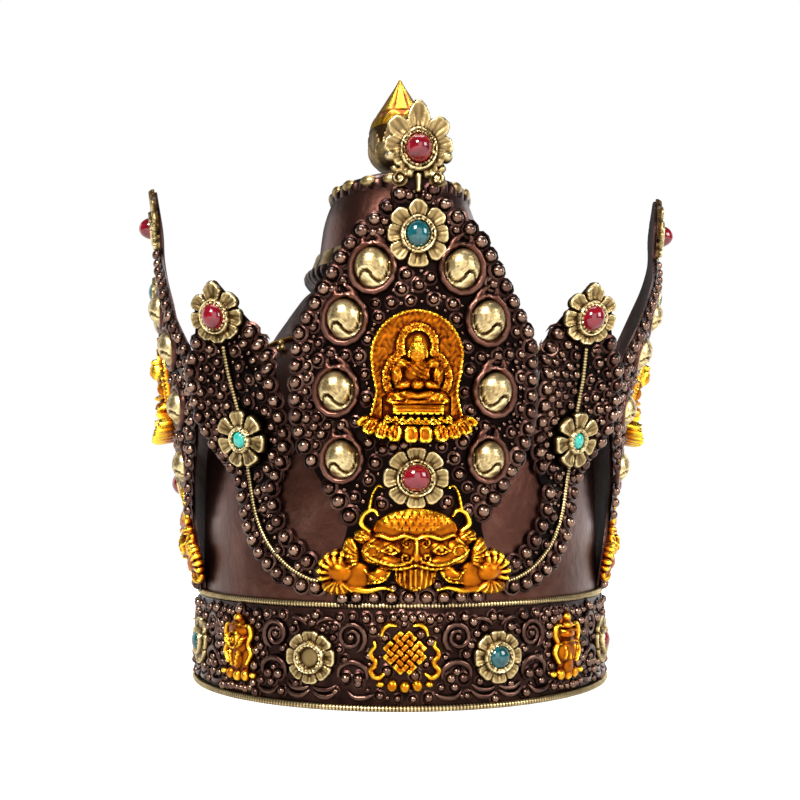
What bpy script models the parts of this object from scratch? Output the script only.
"""Buddhist monk crown: a beaten copper cap with a head band, four tall leaves and four small ones.

The crown stands on its head band, with the origin in the middle of the band's lower edge, +Z up
and the front leaf towards -Y. Left and right are as seen from the front.
"""

import math

import bmesh
import bpy
from mathutils import Matrix, Vector

# Clearances in metres
SEAT_GAP = 0.0003
LEAF_SIDE_GAP = 0.0008

# Points closer than this are one point; edges sharper than this many degrees stay sharp
MERGE_DISTANCE = 0.000005
SHARP_ANGLE = 32

# Cap: the drum that the head goes into, and the three tiers of the dome
DRUM_RADIUS = 0.0975
CAP_SHEET = 0.0013
CAP_FOOT = 0.0020
DRUM_HEIGHT = 0.1000
SHOULDER_RISE = 0.0530
LOWER_TIER_RADIUS = 0.0735
LEDGE_RISE = 0.0075
DOME_RISE = 0.0315
MIDDLE_TIER_RADIUS = 0.0455
FLARE_RISE = 0.0185
TOP_DRUM_RADIUS = 0.0420
TOP_DRUM_RISE = 0.0295
CROWN_EDGE_RADIUS = 0.0372
CROWN_RISE = 0.0140
ROUND_STEPS = 32

# Head band and its two beaded wires
BAND_SHEET = 0.0015
BAND_HEIGHT = 0.0405
WIRE_RADIUS = 0.0012
WIRE_SIDES = 4
BAND_TURN = -2.4

# Scalloped rings round the dome
RING_STEPS = 20
RING_DEPTH = 0.0030
RING_LIP = 0.0015
MIDDLE_RING_BULGE = 0.0040
TOP_RING_BULGE = 0.0016
MIDDLE_RING_CLEAR = 0.0012
TOP_RING_HEIGHT = 0.0078

# Finial: a lotus bud that carries a gilt drop
FINIAL_STEPS = 16
NECK_RADIUS = 0.0065
NECK_SHARE = 0.12
BUD_RADIUS = 0.0174
BUD_HEIGHT = 0.0240
DROP_HEIGHT = 0.0295
DROP_TIP_RADIUS = 0.0009

# Large leaves
LEAF_SHEET = 0.0015
LEAF_HEIGHT = 0.2000
LEAF_HALF = 0.0520
LEAF_COLUMNS = 6
LEAF_ROWS = 14
SLOPE_SHARE = 0.01
BOSS_WIDTH = 0.0140
BOSS_LENGTH = 0.0172
BOSS_RISE = 0.0070
BOSS_SINK = 0.0008
BOSS_SIDES = 6
BOSS_BANDS = 4

# Small leaves, each with a branch that carries a silver wire along the drum
SMALL_SHEET = 0.0012
SMALL_HEIGHT = 0.1360
SMALL_REACH = 0.0190
SMALL_COLUMNS = 4
BRANCH_WIDTH = 0.0110
WIRE_LIFT = 0.55

# Ornaments of the leaves
PLAQUE_HALF = 0.0190
PLAQUE_HEIGHT = 0.0545
PLAQUE_RISE = 0.0125
MASK_HALF = 0.0372
MASK_HEIGHT = 0.0350
MASK_RISE = 0.0068
MASK_FOOT = 0.0030
ROSETTE_STEPS = 8
ROSETTE_HALF = 0.0125
ROSETTE_EDGE = 0.0013
ROSETTE_RIM = 0.94
SETTING_LIFT = 1.6
STONE_WIDTH = 0.84
STONE_SHOULDER = 0.72

# Middles of the rosettes and foot of the plaque above a large leaf's foot; the coral rosette sits
# between the mask and the plaque, a stem's length from each
CORAL_STEM = 0.0124
PLAQUE_STEM = 0.0131
CORAL_MIDDLE = MASK_FOOT + MASK_HEIGHT + CORAL_STEM
PLAQUE_FOOT = CORAL_MIDDLE + PLAQUE_STEM
TURQUOISE_MIDDLE = 0.738 * LEAF_HEIGHT
TIP_MIDDLE = 0.908 * LEAF_HEIGHT
TURQUOISE_BELOW = 1.104

# Ornaments of the head band
FLOWER_RADIUS = 0.0108
FLOWER_RISE = 0.0060
FLOWER_STONE = 0.0046
SYMBOL_RISE = 0.0034
BAND_MIDDLE = 0.0208
BAND_PLACES = 16

# Cap's shoulder between drum and lower tier, from the drum's top: share of its rise, share of the
# way in from the drum's radius to the tier's
SHOULDER_ROWS = (
    (0.00, 0.000),
    (0.33, 0.100),
    (0.68, 0.420),
    (1.00, 1.000),
)
# Dome between the lower ledge and the middle tier: the same two shares
DOME_ROWS = (
    (0.00, 0.170),
    (0.45, 0.420),
    (1.00, 1.000),
)
# Top of the cap inside its ring: the same two shares, of its rise and of its edge's radius
CROWN_ROWS = (
    (0.00, 0.00),
    (0.62, 0.20),
    (1.00, 1.00),
)
# Bud of the finial: share of its height above the neck, share of its radius
BUD_ROWS = (
    (0.00, 0.37),
    (0.10, 0.68),
    (0.42, 0.97),
    (0.66, 1.00),
    (1.00, 0.95),
)
# Gilt drop: share of its height, share of the bud's radius
DROP_ROWS = (
    (0.00, 0.95),
    (0.16, 0.88),
    (0.40, 0.64),
    (0.65, 0.38),
    (0.88, 0.14),
)

# Large leaf: share of its height, share of its half width
LEAF_OUTLINE = (
    (0.000, 0.58),
    (0.100, 0.58),
    (0.165, 0.53),
    (0.210, 0.66),
    (0.280, 0.84),
    (0.350, 0.97),
    (0.460, 1.00),
    (0.545, 0.97),
    (0.635, 0.76),
    (0.730, 0.53),
    (0.795, 0.27),
    (0.840, 0.13),
    (0.910, 0.17),
    (0.955, 0.12),
    (1.000, 0.03),
)
# Bend of each large leaf away from the drum: share of its height, then its share of that leaf's
# reach, for the front, right, back and left leaf
LEAF_BEND = (
    (0.00, 0.00, 0.00, 0.00, 0.00),
    (0.10, 0.10, 0.09, 0.10, 0.10),
    (0.21, 0.22, 0.18, 0.22, 0.20),
    (0.35, 0.38, 0.33, 0.38, 0.38),
    (0.46, 0.50, 0.46, 0.50, 0.49),
    (0.56, 0.62, 0.65, 0.62, 0.61),
    (0.66, 0.72, 0.79, 0.72, 0.71),
    (0.76, 0.80, 0.90, 0.80, 0.74),
    (0.88, 0.90, 0.95, 0.90, 0.83),
    (1.00, 1.00, 1.00, 1.00, 1.00),
)
# Large leaves: name, azimuth in degrees, reach of the tip as a share of the leaf's height, column
# of LEAF_BEND, plaque raised by a share of the room below the turquoise rosette
LARGE_LEAVES = (
    ("front", 0.0, 0.1200, 1, 0.0),
    ("right", 90.0, 0.1900, 2, 0.4114),
    ("back", 180.0, 0.1300, 3, 0.0),
    ("left", 270.0, 0.1650, 4, 0.4114),
)
# Conch bosses on one half of a large leaf: share of its height, share of its half width, size
BOSSES = (
    (0.673, 0.345, 1.00),
    (0.572, 0.560, 1.00),
    (0.428, 0.625, 1.00),
    (0.290, 0.575, 0.90),
)
# Stone rosettes of a large leaf: name, height above the leaf's foot, then as shares of
# ROSETTE_HALF the half width, the length above and below the stone, the rise and the radius of
# the setting, and the stone's colour
LEAF_ROSETTES = (
    ("coral_tip_rosette", TIP_MIDDLE, 1.000, 1.480, 0.840, 0.544, 0.496, "coral"),
    ("turquoise_rosette", TURQUOISE_MIDDLE, 0.936, 1.120, TURQUOISE_BELOW, 0.496, 0.464, "turquoise"),
    ("coral_rosette", CORAL_MIDDLE, 1.040, 0.896, 0.896, 0.512, 0.464, "coral"),
)

# Small leaf from its tip down and along its branch: share of its height, share of the branch's
# reach towards the large leaf, then the widths on the far side and on the branch's side as
# shares of the half width of the leaf (first nine rows) or of the branch (last rows)
SMALL_ROWS = (
    (1.000, 0.00, 0.05, 0.05),
    (0.940, 0.00, 0.27, 0.29),
    (0.870, 0.00, 0.48, 0.54),
    (0.800, 0.00, 0.66, 0.80),
    (0.740, 0.00, 0.90, 1.00),
    (0.650, 0.00, 1.00, 1.00),
    (0.560, 0.00, 1.00, 1.00),
    (0.480, 0.00, 0.90, 1.00),
    (0.410, 0.00, 0.58, 0.88),
    (0.335, 0.05, 0.85, 1.35),
    (0.250, 0.14, 0.82, 1.20),
    (0.170, 0.31, 0.80, 1.05),
    (0.105, 0.56, 0.72, 0.92),
    (0.068, 0.80, 0.58, 0.80),
    (0.052, 1.00, 0.42, 0.62),
)
SMALL_LEAF_ROWS = 9
WIRE_TOP_ROW = 3
# Bend of a small leaf away from the drum: share of its height, share of its reach
SMALL_BEND = (
    (0.00, 0.00),
    (0.42, 0.00),
    (0.52, 0.09),
    (0.65, 0.34),
    (0.78, 0.62),
    (0.90, 0.86),
    (1.00, 1.00),
)
# Small leaves: name, azimuth in degrees, side its branch runs to, sway of the tip as a share of
# the leaf's height, slope by which the tip is turned about the leaf's middle
SMALL_LEAVES = (
    ("front_right", 45.0, -1, -0.0294, 0.42),
    ("back_right", 135.0, 1, 0.0, 0.0),
    ("back_left", 225.0, -1, 0.0, 0.0),
    ("front_left", 315.0, 1, -0.0368, -0.42),
)
# Shares of a small leaf's height between which its sideways sway, the turn of its tip and the
# bend of its outer side set in, and the round of the fold between its two sides
SWAY_START = 0.52
SWAY_FULL = 0.89
TURN_START = 0.70
TURN_FULL = 0.84
SIDE_START = 0.36
SIDE_FULL = 0.56
FOLD_ROUND = 0.0080
# Rosettes of a small leaf, with the columns of LEAF_ROSETTES before the stone colour, and then
# whether it lies on the silver wire
SMALL_ROSETTES = (
    ("coral_rosette", 0.890, 0.960, 1.200, 0.920, 0.480, 0.440, "coral", False),
    ("turquoise_flower", 0.500, 1.040, 1.056, 1.056, 0.400, 0.400, "turquoise", True),
)

# Buddha plaque from its foot up: share of its height, share of its half width, then its rise at
# the edge, at the knees and in the middle as shares of the plaque's rise
PLAQUE_ROWS = (
    (0.00, 0.80, 0.55, 0.70, 0.75),
    (0.05, 0.96, 0.75, 0.95, 1.00),
    (0.20, 0.98, 0.72, 0.92, 0.95),
    (0.23, 0.94, 0.20, 0.55, 0.66),
    (0.36, 0.88, 0.18, 0.50, 0.66),
    (0.56, 0.98, 0.18, 0.22, 0.62),
    (0.76, 0.90, 0.18, 0.20, 0.52),
    (0.90, 0.62, 0.18, 0.20, 0.22),
    (1.00, 0.20, 0.12, 0.14, 0.16),
)
# Beast mask, with the same columns
MASK_ROWS = (
    (0.00, 0.72, 0.28, 0.50, 0.55),
    (0.12, 0.97, 0.55, 0.72, 0.80),
    (0.30, 1.00, 0.50, 0.85, 1.00),
    (0.48, 0.88, 0.34, 0.90, 1.00),
    (0.66, 0.64, 0.28, 0.80, 0.95),
    (0.84, 0.54, 0.22, 0.66, 0.90),
    (1.00, 0.30, 0.20, 0.36, 0.45),
)
# Symbol on the band, with the same columns
SYMBOL_ROWS = (
    (0.00, 0.55, 0.35, 0.60, 0.70),
    (0.25, 0.85, 0.40, 0.80, 1.00),
    (0.55, 1.00, 0.40, 0.85, 1.00),
    (0.82, 0.72, 0.40, 0.70, 0.85),
    (1.00, 0.30, 0.30, 0.40, 0.45),
)
# Columns of a wide relief and of a narrow one: share of its half width, column of its table
# that gives the rise there
WIDE_COLUMNS = ((-1.0, 2), (-0.62, 3), (-0.27, 4), (0.0, 4), (0.27, 4), (0.62, 3), (1.0, 2))
NARROW_COLUMNS = ((-1.0, 2), (-0.5, 3), (0.0, 4), (0.5, 3), (1.0, 2))
# The eight lucky signs round the band: name, then half width and height as shares of the band's
SYMBOLS = (
    ("endless_knot", 0.333, 0.741),
    ("vase", 0.259, 0.716),
    ("parasol", 0.296, 0.704),
    ("fish_pair", 0.296, 0.679),
    ("wheel", 0.301, 0.679),
    ("lotus", 0.309, 0.667),
    ("banner", 0.259, 0.716),
    ("conch", 0.272, 0.716),
)

# Colour, metallic value and roughness of each finish
FINISHES = {
    "dark_copper": ((0.060, 0.035, 0.028), 1.0, 0.38),
    "smooth_copper": ((0.110, 0.045, 0.032), 1.0, 0.32),
    "silver": ((0.560, 0.500, 0.390), 1.0, 0.36),
    "gilt": ((0.700, 0.330, 0.040), 1.0, 0.30),
    "coral": ((0.310, 0.004, 0.014), 0.0, 0.18),
    "turquoise": ((0.005, 0.150, 0.150), 0.0, 0.22),
}

# Sizes that follow from the driving ones
SEAT_RADIUS = DRUM_RADIUS + SEAT_GAP
LOWER_TIER_HEIGHT = DRUM_HEIGHT + SHOULDER_RISE
LEDGE_TOP = LOWER_TIER_HEIGHT + LEDGE_RISE
MIDDLE_TIER_HEIGHT = LEDGE_TOP + DOME_RISE
TOP_DRUM_HEIGHT = MIDDLE_TIER_HEIGHT + FLARE_RISE
CROWN_EDGE_HEIGHT = TOP_DRUM_HEIGHT + TOP_DRUM_RISE
CROWN_TOP_HEIGHT = CROWN_EDGE_HEIGHT + CROWN_RISE
BAND_RADIUS = SEAT_RADIUS + BAND_SHEET
LEAF_FOOT = BAND_HEIGHT + 2 * WIRE_RADIUS + 3 * SEAT_GAP
PLAQUE_ROOM = (
    TURQUOISE_MIDDLE - TURQUOISE_BELOW * ROSETTE_HALF - PLAQUE_FOOT - PLAQUE_HEIGHT
)
QUARTER_ARC = SEAT_RADIUS * math.pi / 4
SMALL_HALF = QUARTER_ARC - LEAF_HALF - LEAF_SIDE_GAP
BRANCH_REACH = QUARTER_ARC - MASK_HALF - LEAF_SIDE_GAP


def clear_scene():
    """Remove every object of the scene."""
    for old_object in list(bpy.data.objects):
        bpy.data.objects.remove(old_object, do_unlink=True)


def make_collection(name):
    """Add a collection to the scene."""
    collection = bpy.data.collections.new(name)
    bpy.context.scene.collection.children.link(collection)
    return collection


def make_material(name, finish):
    """Principled material of one node, with the colour and polish of its finish."""
    colour, metallic, roughness = FINISHES[finish]
    material = bpy.data.materials.new(name)
    material.use_nodes = True
    shader = material.node_tree.nodes["Principled BSDF"]
    shader.inputs["Base Color"].default_value = (*colour, 1.0)
    shader.inputs["Metallic"].default_value = metallic
    shader.inputs["Roughness"].default_value = roughness
    material.diffuse_color = (*colour, 1.0)
    return material


def add_piece(name, mesh, finish, parent=None, stone=None):
    """One named object for a sub-part, with its own material and its stone's, if it has one."""
    piece = bpy.data.objects.new(name, mesh)
    crown_parts.objects.link(piece)
    mesh.materials.append(make_material(name, finish))
    if stone:
        mesh.materials.append(make_material(name + "_stone", stone))
    mesh.shade_smooth()
    mesh.set_sharp_from_angle(angle=math.radians(SHARP_ANGLE))
    piece.parent = parent
    return piece


def add_frame(name, azimuth):
    """Empty in the crown's axis, turned so that its -Y looks out at an azimuth in degrees."""
    frame = bpy.data.objects.new(name, None)
    crown_parts.objects.link(frame)
    frame.rotation_euler = (0, 0, math.radians(azimuth))
    return frame


def to_mesh(shape, name):
    """Close a bmesh, turn its faces outwards and make it a mesh."""
    bmesh.ops.remove_doubles(shape, verts=shape.verts, dist=MERGE_DISTANCE)
    bmesh.ops.recalc_face_normals(shape, faces=shape.faces)
    mesh = bpy.data.meshes.new(name)
    shape.to_mesh(mesh)
    shape.free()
    return mesh


def smooth_value(rows, share, column):
    """Value of one column at a share of the table's length, on a curve through its rows."""
    last = len(rows) - 1
    share = min(max(share, rows[0][0]), rows[last][0])
    index = next(i for i in range(last) if share <= rows[i + 1][0])
    start, end = rows[index], rows[index + 1]
    span = end[0] - start[0]

    def slope(i):
        before, after = rows[max(i - 1, 0)], rows[min(i + 1, last)]
        return (after[column] - before[column]) / (after[0] - before[0])

    t = (share - start[0]) / span
    rise = (3 - 2 * t) * t * t
    value = start[column] * (1 - rise) + end[column] * rise
    value += slope(index) * span * t * (1 - t) ** 2
    return value - slope(index + 1) * span * t * t * (1 - t)


def wrap(along, height, off, bend, tilt):
    """Point at a length along the drum's curve, a height, and a distance off the sheet.

    The sheet is a piece of the drum's cylinder moved out by bend at that height, where tilt is
    the slope of the bend. The front of the crown is towards -Y.
    """
    angle = along / SEAT_RADIUS
    level = 1 / math.sqrt(1 + tilt * tilt)
    radius = SEAT_RADIUS + off * level
    return Vector((
        radius * math.sin(angle),
        -radius * math.cos(angle) - bend,
        height - off * tilt * level,
    ))


def bent_sheet(rows, column, leaf_height, reach):
    """Function that places a point on a leaf whose bend follows one column of a table."""

    def bend_at(height):
        share = (height - LEAF_FOOT) / leaf_height
        return reach * smooth_value(rows, share, column)

    def place(along, height, off):
        rise = SLOPE_SHARE * leaf_height
        tilt = (bend_at(height + rise) - bend_at(height - rise)) / (2 * rise)
        return wrap(along, height, off, bend_at(height), tilt)

    return place


def on_band(along, height, off):
    """Point on the outside of the head band."""
    angle = along / BAND_RADIUS
    radius = BAND_RADIUS + off
    return Vector((radius * math.sin(angle), -radius * math.cos(angle), height))


def turned_piece(name, profile, steps, finish):
    """Closed turned solid: a ring of (radius, height) points round the crown's axis."""
    points = [(radius, 0, height) for radius, height in profile]
    on_axis = min(radius for radius, height in profile) == 0
    count = len(points)
    edges = [(i, (i + 1) % count) for i in range(count - 1 if on_axis else count)]
    mesh = bpy.data.meshes.new(name)
    mesh.from_pydata(points, edges, [])
    piece = add_piece(name, mesh, finish)
    screw = piece.modifiers.new("turn", "SCREW")
    screw.axis = "Z"
    screw.steps = steps
    screw.render_steps = steps
    screw.use_merge_vertices = True
    screw.merge_threshold = MERGE_DISTANCE
    screw.use_smooth_shade = True
    return piece


def cap_outer_profile():
    """Outside of the cap from its foot to its top, as (radius, height)."""
    profile = [(DRUM_RADIUS, CAP_FOOT)]
    shoulder_width = DRUM_RADIUS - LOWER_TIER_RADIUS
    for rise, way_in in SHOULDER_ROWS:
        height = DRUM_HEIGHT + rise * SHOULDER_RISE
        profile.append((DRUM_RADIUS - way_in * shoulder_width, height))
    dome_width = LOWER_TIER_RADIUS - MIDDLE_TIER_RADIUS
    for rise, way_in in DOME_ROWS:
        height = LEDGE_TOP + rise * DOME_RISE
        profile.append((LOWER_TIER_RADIUS - way_in * dome_width, height))
    profile.append((TOP_DRUM_RADIUS, TOP_DRUM_HEIGHT))
    for rise, way_in in CROWN_ROWS:
        height = CROWN_EDGE_HEIGHT + rise * CROWN_RISE
        profile.append((CROWN_EDGE_RADIUS * (1 - way_in), height))
    return profile


def inward(profile, wall):
    """Inside of a turned sheet, each point moved in by the wall across the sheet."""
    inside = []
    last = len(profile) - 1
    for i, (radius, height) in enumerate(profile):
        before, after = profile[max(i - 1, 0)], profile[min(i + 1, last)]
        run, rise = after[0] - before[0], after[1] - before[1]
        length = math.hypot(run, rise)
        if radius == 0:
            inside.append((0.0, height - wall))
        elif i == 0:
            inside.append((radius - wall, height))
        else:
            inside.append((radius - wall * rise / length, height + wall * run / length))
    return inside


def make_cap():
    """Copper cap: drum, shoulder, ledge, dome and top, one sheet open at the foot."""
    outside = cap_outer_profile()
    inside = inward(outside, CAP_SHEET)
    turned_piece("cap", outside[::-1] + inside, ROUND_STEPS, "smooth_copper")


def make_band():
    """Head band round the foot of the drum, and the beaded wires at its edges."""
    profile = (
        (BAND_RADIUS, BAND_HEIGHT),
        (BAND_RADIUS, 0.0),
        (SEAT_RADIUS, 0.0),
        (SEAT_RADIUS, BAND_HEIGHT),
    )
    turned_piece("head_band", profile, ROUND_STEPS, "dark_copper")
    lower = (BAND_RADIUS + SEAT_GAP + WIRE_RADIUS, WIRE_RADIUS + SEAT_GAP)
    upper = (SEAT_RADIUS + WIRE_RADIUS, BAND_HEIGHT + SEAT_GAP + WIRE_RADIUS)
    for name, (radius, height) in (("lower_rim_wire", lower), ("upper_rim_wire", upper)):
        ring = [
            (
                radius + WIRE_RADIUS * math.cos(2 * math.pi * i / WIRE_SIDES),
                height - WIRE_RADIUS * math.sin(2 * math.pi * i / WIRE_SIDES),
            )
            for i in range(WIRE_SIDES)
        ]
        turned_piece(name, ring, ROUND_STEPS, "silver")


def make_tier_ring(name, foot, top, bulge):
    """Flared, scalloped ring round the dome, from a foot to a top point of the cap's outside.

    Both points are (radius, height). The inside clears the cap's finer facets.
    """
    clear = 1 / math.cos(math.pi / RING_STEPS)
    inner_foot = ((foot[0] + SEAT_GAP) * clear, foot[1])
    inner_top = ((top[0] + SEAT_GAP) * clear, top[1])
    middle = (inner_foot[1] + inner_top[1]) / 2
    profile = (
        inner_top,
        (inner_top[0] + RING_LIP, inner_top[1]),
        (max(inner_foot[0], inner_top[0]) + bulge, middle),
        (inner_foot[0] + min(RING_DEPTH, bulge), inner_foot[1]),
        inner_foot,
    )
    turned_piece(name, profile, RING_STEPS, "dark_copper")


def make_rings():
    """Scalloped rings at the top of the dome and round the edge of the crown's top."""
    slope = (TOP_DRUM_RADIUS - MIDDLE_TIER_RADIUS) / FLARE_RISE
    rises = (SEAT_GAP, FLARE_RISE - MIDDLE_RING_CLEAR)
    foot, top = [(MIDDLE_TIER_RADIUS + slope * rise, MIDDLE_TIER_HEIGHT + rise) for rise in rises]
    make_tier_ring("middle_tier_ring", foot, top, MIDDLE_RING_BULGE)
    edge = (CROWN_EDGE_RADIUS, CROWN_EDGE_HEIGHT)
    top = (edge[0], edge[1] + TOP_RING_HEIGHT)
    make_tier_ring("top_tier_ring", edge, top, TOP_RING_BULGE)


def make_finial():
    """Lotus bud on the middle of the cap, and the gilt drop that stands on it."""
    foot = CROWN_TOP_HEIGHT + SEAT_GAP
    neck_rise = BUD_HEIGHT * NECK_SHARE
    bud = [(0.0, foot), (NECK_RADIUS, foot)]
    for share, width in BUD_ROWS:
        height = foot + neck_rise + share * (BUD_HEIGHT - neck_rise)
        bud.append((BUD_RADIUS * width, height))
    bud.append((0.0, foot + BUD_HEIGHT))
    turned_piece("finial_bud", bud[::-1], FINIAL_STEPS, "silver")
    drop_foot = foot + BUD_HEIGHT + SEAT_GAP
    drop = [(0.0, drop_foot)]
    for share, width in DROP_ROWS:
        drop.append((BUD_RADIUS * width, drop_foot + share * DROP_HEIGHT))
    drop.append((DROP_TIP_RADIUS, drop_foot + DROP_HEIGHT))
    drop.append((0.0, drop_foot + DROP_HEIGHT))
    turned_piece("finial_drop", drop[::-1], FINIAL_STEPS, "gilt")


def sheet_shape(columns, rows, place_front, place_back):
    """Closed sheet from a grid: both functions turn (column, row) into a point."""
    shape = bmesh.new()
    bmesh.ops.create_grid(shape, x_segments=columns, y_segments=rows, size=0.5)
    raised = bmesh.ops.extrude_face_region(shape, geom=list(shape.faces))
    fronts = {item for item in raised["geom"] if isinstance(item, bmesh.types.BMVert)}
    for vert in shape.verts:
        column = round((vert.co.x + 0.5) * columns)
        row = round((vert.co.y + 0.5) * rows)
        place = place_front if vert in fronts else place_back
        vert.co = place(column, row)
    return shape


def chord_slack(chord):
    """How far the middle of a straight chord dips below the drum's curve."""
    return chord * chord / (8 * SEAT_RADIUS)


def relief_mesh(name, columns, rows, half, height, rise, gap, foot, place):
    """Cast relief on a sheet: a grid whose rows are a table, closed at the back along the sheet."""
    count = len(rows) - 1
    sides = [side for side, column in columns]
    gap += chord_slack(half * max(b - a for a, b in zip(sides, sides[1:])))

    def spot(column, row, off):
        side = columns[column][0]
        return place(side * half * rows[row][1], foot + height * rows[row][0], off)

    def front(column, row):
        share = rows[row][columns[column][1]]
        return spot(column, row, gap + rise * share)

    def back(column, row):
        return spot(column, row, gap)

    return to_mesh(sheet_shape(len(columns) - 1, count, front, back), name)


def turned_shape(profile, steps):
    """Closed turned bmesh from (radius, height) points that start and end on the axis."""
    shape = bmesh.new()
    points = [shape.verts.new((radius, 0, height)) for radius, height in profile]
    edges = [shape.edges.new(pair) for pair in zip(points, points[1:])]
    bmesh.ops.spin(
        shape, geom=points + edges, cent=(0, 0, 0), axis=(0, 0, 1),
        angle=2 * math.pi, steps=steps, use_merge=True,
    )
    bmesh.ops.remove_doubles(shape, verts=shape.verts, dist=MERGE_DISTANCE)
    return shape


def rosette_mesh(name, sizes, along, height, gap, place):
    """Stone in its setting on a rosette, laid flat and then wrapped on to the sheet behind it.

    The sizes are the rosette's half width, its length above and below, its rise and the radius
    of the setting.
    """
    half, above, below, rise, setting = sizes
    gap += chord_slack(half)
    profile = (
        (0.0, 0.0),
        (half, 0.0),
        (half * ROSETTE_RIM, ROSETTE_EDGE),
        (setting, ROSETTE_EDGE * SETTING_LIFT),
        (setting * STONE_WIDTH, rise * STONE_SHOULDER),
        (0.0, rise),
    )
    shape = turned_shape(profile, ROSETTE_STEPS)
    turn = Matrix.Rotation(math.pi / ROSETTE_STEPS, 4, "Z")
    bmesh.ops.transform(shape, matrix=turn, verts=shape.verts)
    for face in shape.faces:
        face.material_index = int(face.calc_center_median().z > rise * STONE_SHOULDER)
    for vert in shape.verts:
        x, y, z = vert.co
        outside = max(0.0, math.hypot(x, y) - setting) / (half - setting)
        stretch = (above if y > 0 else below) / half
        reach = y * (1 + (stretch - 1) * outside)
        vert.co = place(along + x, height + reach, gap + z)
    return to_mesh(shape, name)


def leaf_shape(place):
    """Sheet of a large leaf, cut to its outline and bent."""

    def spot(column, row, off):
        share = row / LEAF_ROWS
        width = smooth_value(LEAF_OUTLINE, share, 1)
        side = 2 * column / LEAF_COLUMNS - 1
        return place(side * width * LEAF_HALF, LEAF_FOOT + share * LEAF_HEIGHT, off)

    def front(column, row):
        return spot(column, row, LEAF_SHEET)

    def back(column, row):
        return spot(column, row, 0.0)

    return sheet_shape(LEAF_COLUMNS, LEAF_ROWS, front, back)


def boss_domes(place):
    """Egg-shaped domes of the conch bosses, rooted in the sheet of a large leaf."""
    domes = bmesh.new()
    for share, across, size in BOSSES:
        for side in (-1, 1):
            dome = bmesh.new()
            bmesh.ops.create_uvsphere(
                dome, u_segments=BOSS_SIDES, v_segments=BOSS_BANDS, radius=0.5
            )
            along = side * across * LEAF_HALF
            height = LEAF_FOOT + share * LEAF_HEIGHT
            for vert in dome.verts:
                x = vert.co.x * BOSS_WIDTH * size
                y = vert.co.y * BOSS_LENGTH * size
                z = LEAF_SHEET + max(2 * vert.co.z * BOSS_RISE * size, -BOSS_SINK)
                vert.co = place(along + x, height + y, z)
            bmesh.ops.remove_doubles(dome, verts=dome.verts, dist=MERGE_DISTANCE)
            bmesh.ops.recalc_face_normals(dome, faces=dome.faces)
            mesh = bpy.data.meshes.new("dome")
            dome.to_mesh(mesh)
            dome.free()
            domes.from_mesh(mesh)
            bpy.data.meshes.remove(mesh)
    return domes


def join_with(piece, mesh, name):
    """Solder a mesh to a piece by a Boolean union with a hidden guide object."""
    guide = bpy.data.objects.new(name, mesh)
    crown_guides.objects.link(guide)
    guide.parent = piece.parent
    guide.hide_render = True
    guide.display_type = "WIRE"
    union = piece.modifiers.new(name, "BOOLEAN")
    union.operation = "UNION"
    union.object = guide


def make_large_leaf(name, azimuth, reach, column, plaque_lift):
    """A tall leaf with its conch bosses, Buddha plaque, beast mask and three stone rosettes."""
    place = bent_sheet(LEAF_BEND, column, LEAF_HEIGHT, reach * LEAF_HEIGHT)
    frame = add_frame(name + "_leaf_frame", azimuth)
    leaf = add_piece(name + "_leaf", to_mesh(leaf_shape(place), name + "_leaf"), "dark_copper", frame)
    join_with(leaf, to_mesh(boss_domes(place), name + "_bosses"), name + "_leaf_bosses")
    gap = LEAF_SHEET + SEAT_GAP
    foot = LEAF_FOOT + PLAQUE_FOOT + plaque_lift * PLAQUE_ROOM
    plaque = relief_mesh(
        name + "_buddha_plaque", NARROW_COLUMNS, PLAQUE_ROWS, PLAQUE_HALF, PLAQUE_HEIGHT,
        PLAQUE_RISE, gap, foot, place,
    )
    add_piece(name + "_buddha_plaque", plaque, "gilt", frame)
    mask = relief_mesh(
        name + "_beast_mask", WIDE_COLUMNS, MASK_ROWS, MASK_HALF, MASK_HEIGHT,
        MASK_RISE, gap, LEAF_FOOT + MASK_FOOT, place,
    )
    add_piece(name + "_beast_mask", mask, "gilt", frame)
    for title, middle, *shares, stone in LEAF_ROSETTES:
        title = name + "_" + title
        sizes = [size * ROSETTE_HALF for size in shares]
        mesh = rosette_mesh(title, sizes, 0.0, LEAF_FOOT + middle, gap, place)
        add_piece(title, mesh, "silver", frame, stone)


def small_sway(share, sway):
    """Sideways shift of a small leaf above its flower, where it was bent over by hand."""
    over = (share - SWAY_START) / (SWAY_FULL - SWAY_START)
    return sway * SMALL_HEIGHT * min(max(over, 0.0), 1.0)


def turned_sheet(place, sway, turn):
    """The same placing function for a leaf bent by hand about its middle.

    The side that turns outwards stands out from lower down than the other one turns inwards.
    """
    hand = math.copysign(1.0, turn)

    def grown(share, start, full):
        return min(max((share - start) / (full - start), 0.0), 1.0)

    def turned(along, height, off):
        share = (height - LEAF_FOOT) / SMALL_HEIGHT
        outer = grown(share, SIDE_START, SIDE_FULL) * abs(turn) / 2
        inner = grown(share, TURN_START, TURN_FULL) * abs(turn) / 2
        side = hand * (along - small_sway(share, sway))
        reach = math.hypot(side, FOLD_ROUND)
        out = outer * (reach + side) - inner * (reach - side)
        slope = hand * (outer * (1 + side / reach) + inner * (1 - side / reach))
        return place(along - slope * off, height, off) - Vector((0, out, 0))

    return turned


def small_spine(row, side, sway):
    """Middle of a row of the small leaf, as (along, height)."""
    share, reach = SMALL_ROWS[row][:2]
    along = side * reach * BRANCH_REACH + small_sway(share, sway)
    return along, LEAF_FOOT + share * SMALL_HEIGHT


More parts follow.
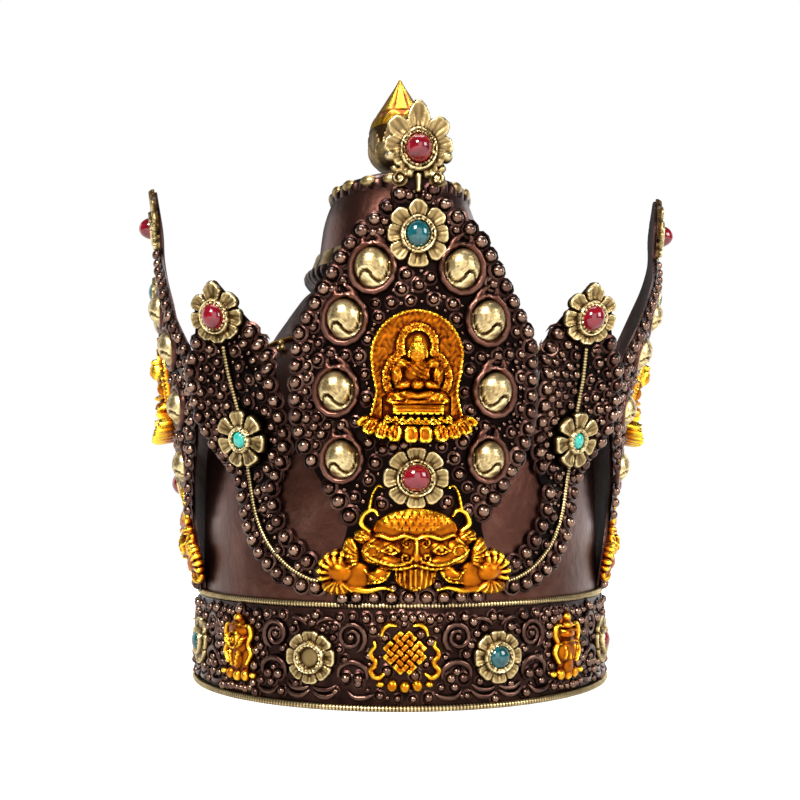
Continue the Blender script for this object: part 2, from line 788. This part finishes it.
def small_leaf_shape(place, side, sway):
    """Sheet of a small leaf and its branch, from the tip down and along the branch."""
    last = len(SMALL_ROWS) - 1

    def spot(column, row, off):
        along, height = small_spine(row, side, sway)
        across, rise = 1.0, 0.0
        if row >= SMALL_LEAF_ROWS:
            before = small_spine(row - 1, side, 0.0)
            after = small_spine(min(row + 1, last), side, 0.0)
            run, drop = after[0] - before[0], before[1] - after[1]
            length = math.hypot(run, drop)
            across, rise = drop / length, side * run / length
        far, near = SMALL_ROWS[row][2:]
        half = SMALL_HALF if row < SMALL_LEAF_ROWS else BRANCH_WIDTH
        way = 2 * column / SMALL_COLUMNS - 1
        width = half * way * (near if way > 0 else far)
        return place(along + side * width * across, height + width * rise, off)

    def front(column, row):
        return spot(column, row, SMALL_SHEET)

    def back(column, row):
        return spot(column, row, 0.0)

    return sheet_shape(SMALL_COLUMNS, last, front, back)


def garland_mesh(place, side, sway, name):
    """Silver wire soldered along the middle of a small leaf and its branch."""
    curve = bpy.data.curves.new(name, "CURVE")
    curve.dimensions = "3D"
    curve.bevel_depth = WIRE_RADIUS
    curve.bevel_resolution = 0
    curve.use_fill_caps = True
    rows = range(WIRE_TOP_ROW, len(SMALL_ROWS))
    line = curve.splines.new("POLY")
    line.points.add(len(rows) - 1)
    off = SMALL_SHEET + WIRE_RADIUS * WIRE_LIFT
    for point, row in zip(line.points, rows):
        point.co = (*place(*small_spine(row, side, sway), off), 1.0)
    wire = bpy.data.objects.new(name, curve)
    crown_guides.objects.link(wire)
    bpy.context.view_layer.update()
    evaluated = wire.evaluated_get(bpy.context.evaluated_depsgraph_get())
    mesh = bpy.data.meshes.new_from_object(evaluated)
    bpy.data.objects.remove(wire)
    bpy.data.curves.remove(curve)
    shape = bmesh.new()
    shape.from_mesh(mesh)
    bpy.data.meshes.remove(mesh)
    return to_mesh(shape, name)


def make_small_leaf(name, azimuth, side, sway, turn):
    """A low leaf with its branch, silver wire, coral rosette and turquoise flower."""
    place = turned_sheet(bent_sheet(SMALL_BEND, 1, SMALL_HEIGHT, SMALL_REACH), sway, turn)
    frame = add_frame(name + "_small_leaf_frame", azimuth)
    title = name + "_small_leaf"
    leaf = add_piece(title, to_mesh(small_leaf_shape(place, side, sway), title), "dark_copper", frame)
    wire_name = name + "_garland_wire"
    join_with(leaf, garland_mesh(place, side, sway, wire_name), wire_name)
    for kind, share, *shares, stone, on_wire in SMALL_ROSETTES:
        title = name + "_" + kind
        height = LEAF_FOOT + share * SMALL_HEIGHT
        gap = SMALL_SHEET + SEAT_GAP
        if on_wire:
            gap += WIRE_RADIUS * (1 + WIRE_LIFT)
        along = small_sway(share, sway)
        sizes = [size * ROSETTE_HALF for size in shares]
        mesh = rosette_mesh(title, sizes, along, height, gap, place)
        add_piece(title, mesh, "silver", frame, stone)


def make_band_ornaments():
    """Silver flowers and gilt lucky signs by turns round the head band."""
    pitch = 360 / BAND_PLACES
    for place in range(BAND_PLACES):
        frame = add_frame(f"band_place_{place + 1}", BAND_TURN + place * pitch)
        if place % 2:
            name = f"band_flower_{place // 2 + 1}"
            sizes = (FLOWER_RADIUS, FLOWER_RADIUS, FLOWER_RADIUS, FLOWER_RISE, FLOWER_STONE)
            mesh = rosette_mesh(name, sizes, 0.0, BAND_MIDDLE, SEAT_GAP, on_band)
            add_piece(name, mesh, "silver", frame, "turquoise")
        else:
            title, half, height = SYMBOLS[place // 2]
            half, height = half * BAND_HEIGHT, height * BAND_HEIGHT
            name = "band_" + title
            mesh = relief_mesh(
                name, NARROW_COLUMNS, SYMBOL_ROWS, half, height, SYMBOL_RISE, SEAT_GAP,
                BAND_MIDDLE - height / 2, on_band,
            )
            add_piece(name, mesh, "gilt", frame)


clear_scene()
crown_parts = make_collection("buddhist_monk_crown")
crown_guides = make_collection("crown_guides")
make_cap()
make_band()
make_rings()
make_finial()
for large in LARGE_LEAVES:
    make_large_leaf(*large)
for small in SMALL_LEAVES:
    make_small_leaf(*small)
make_band_ornaments()
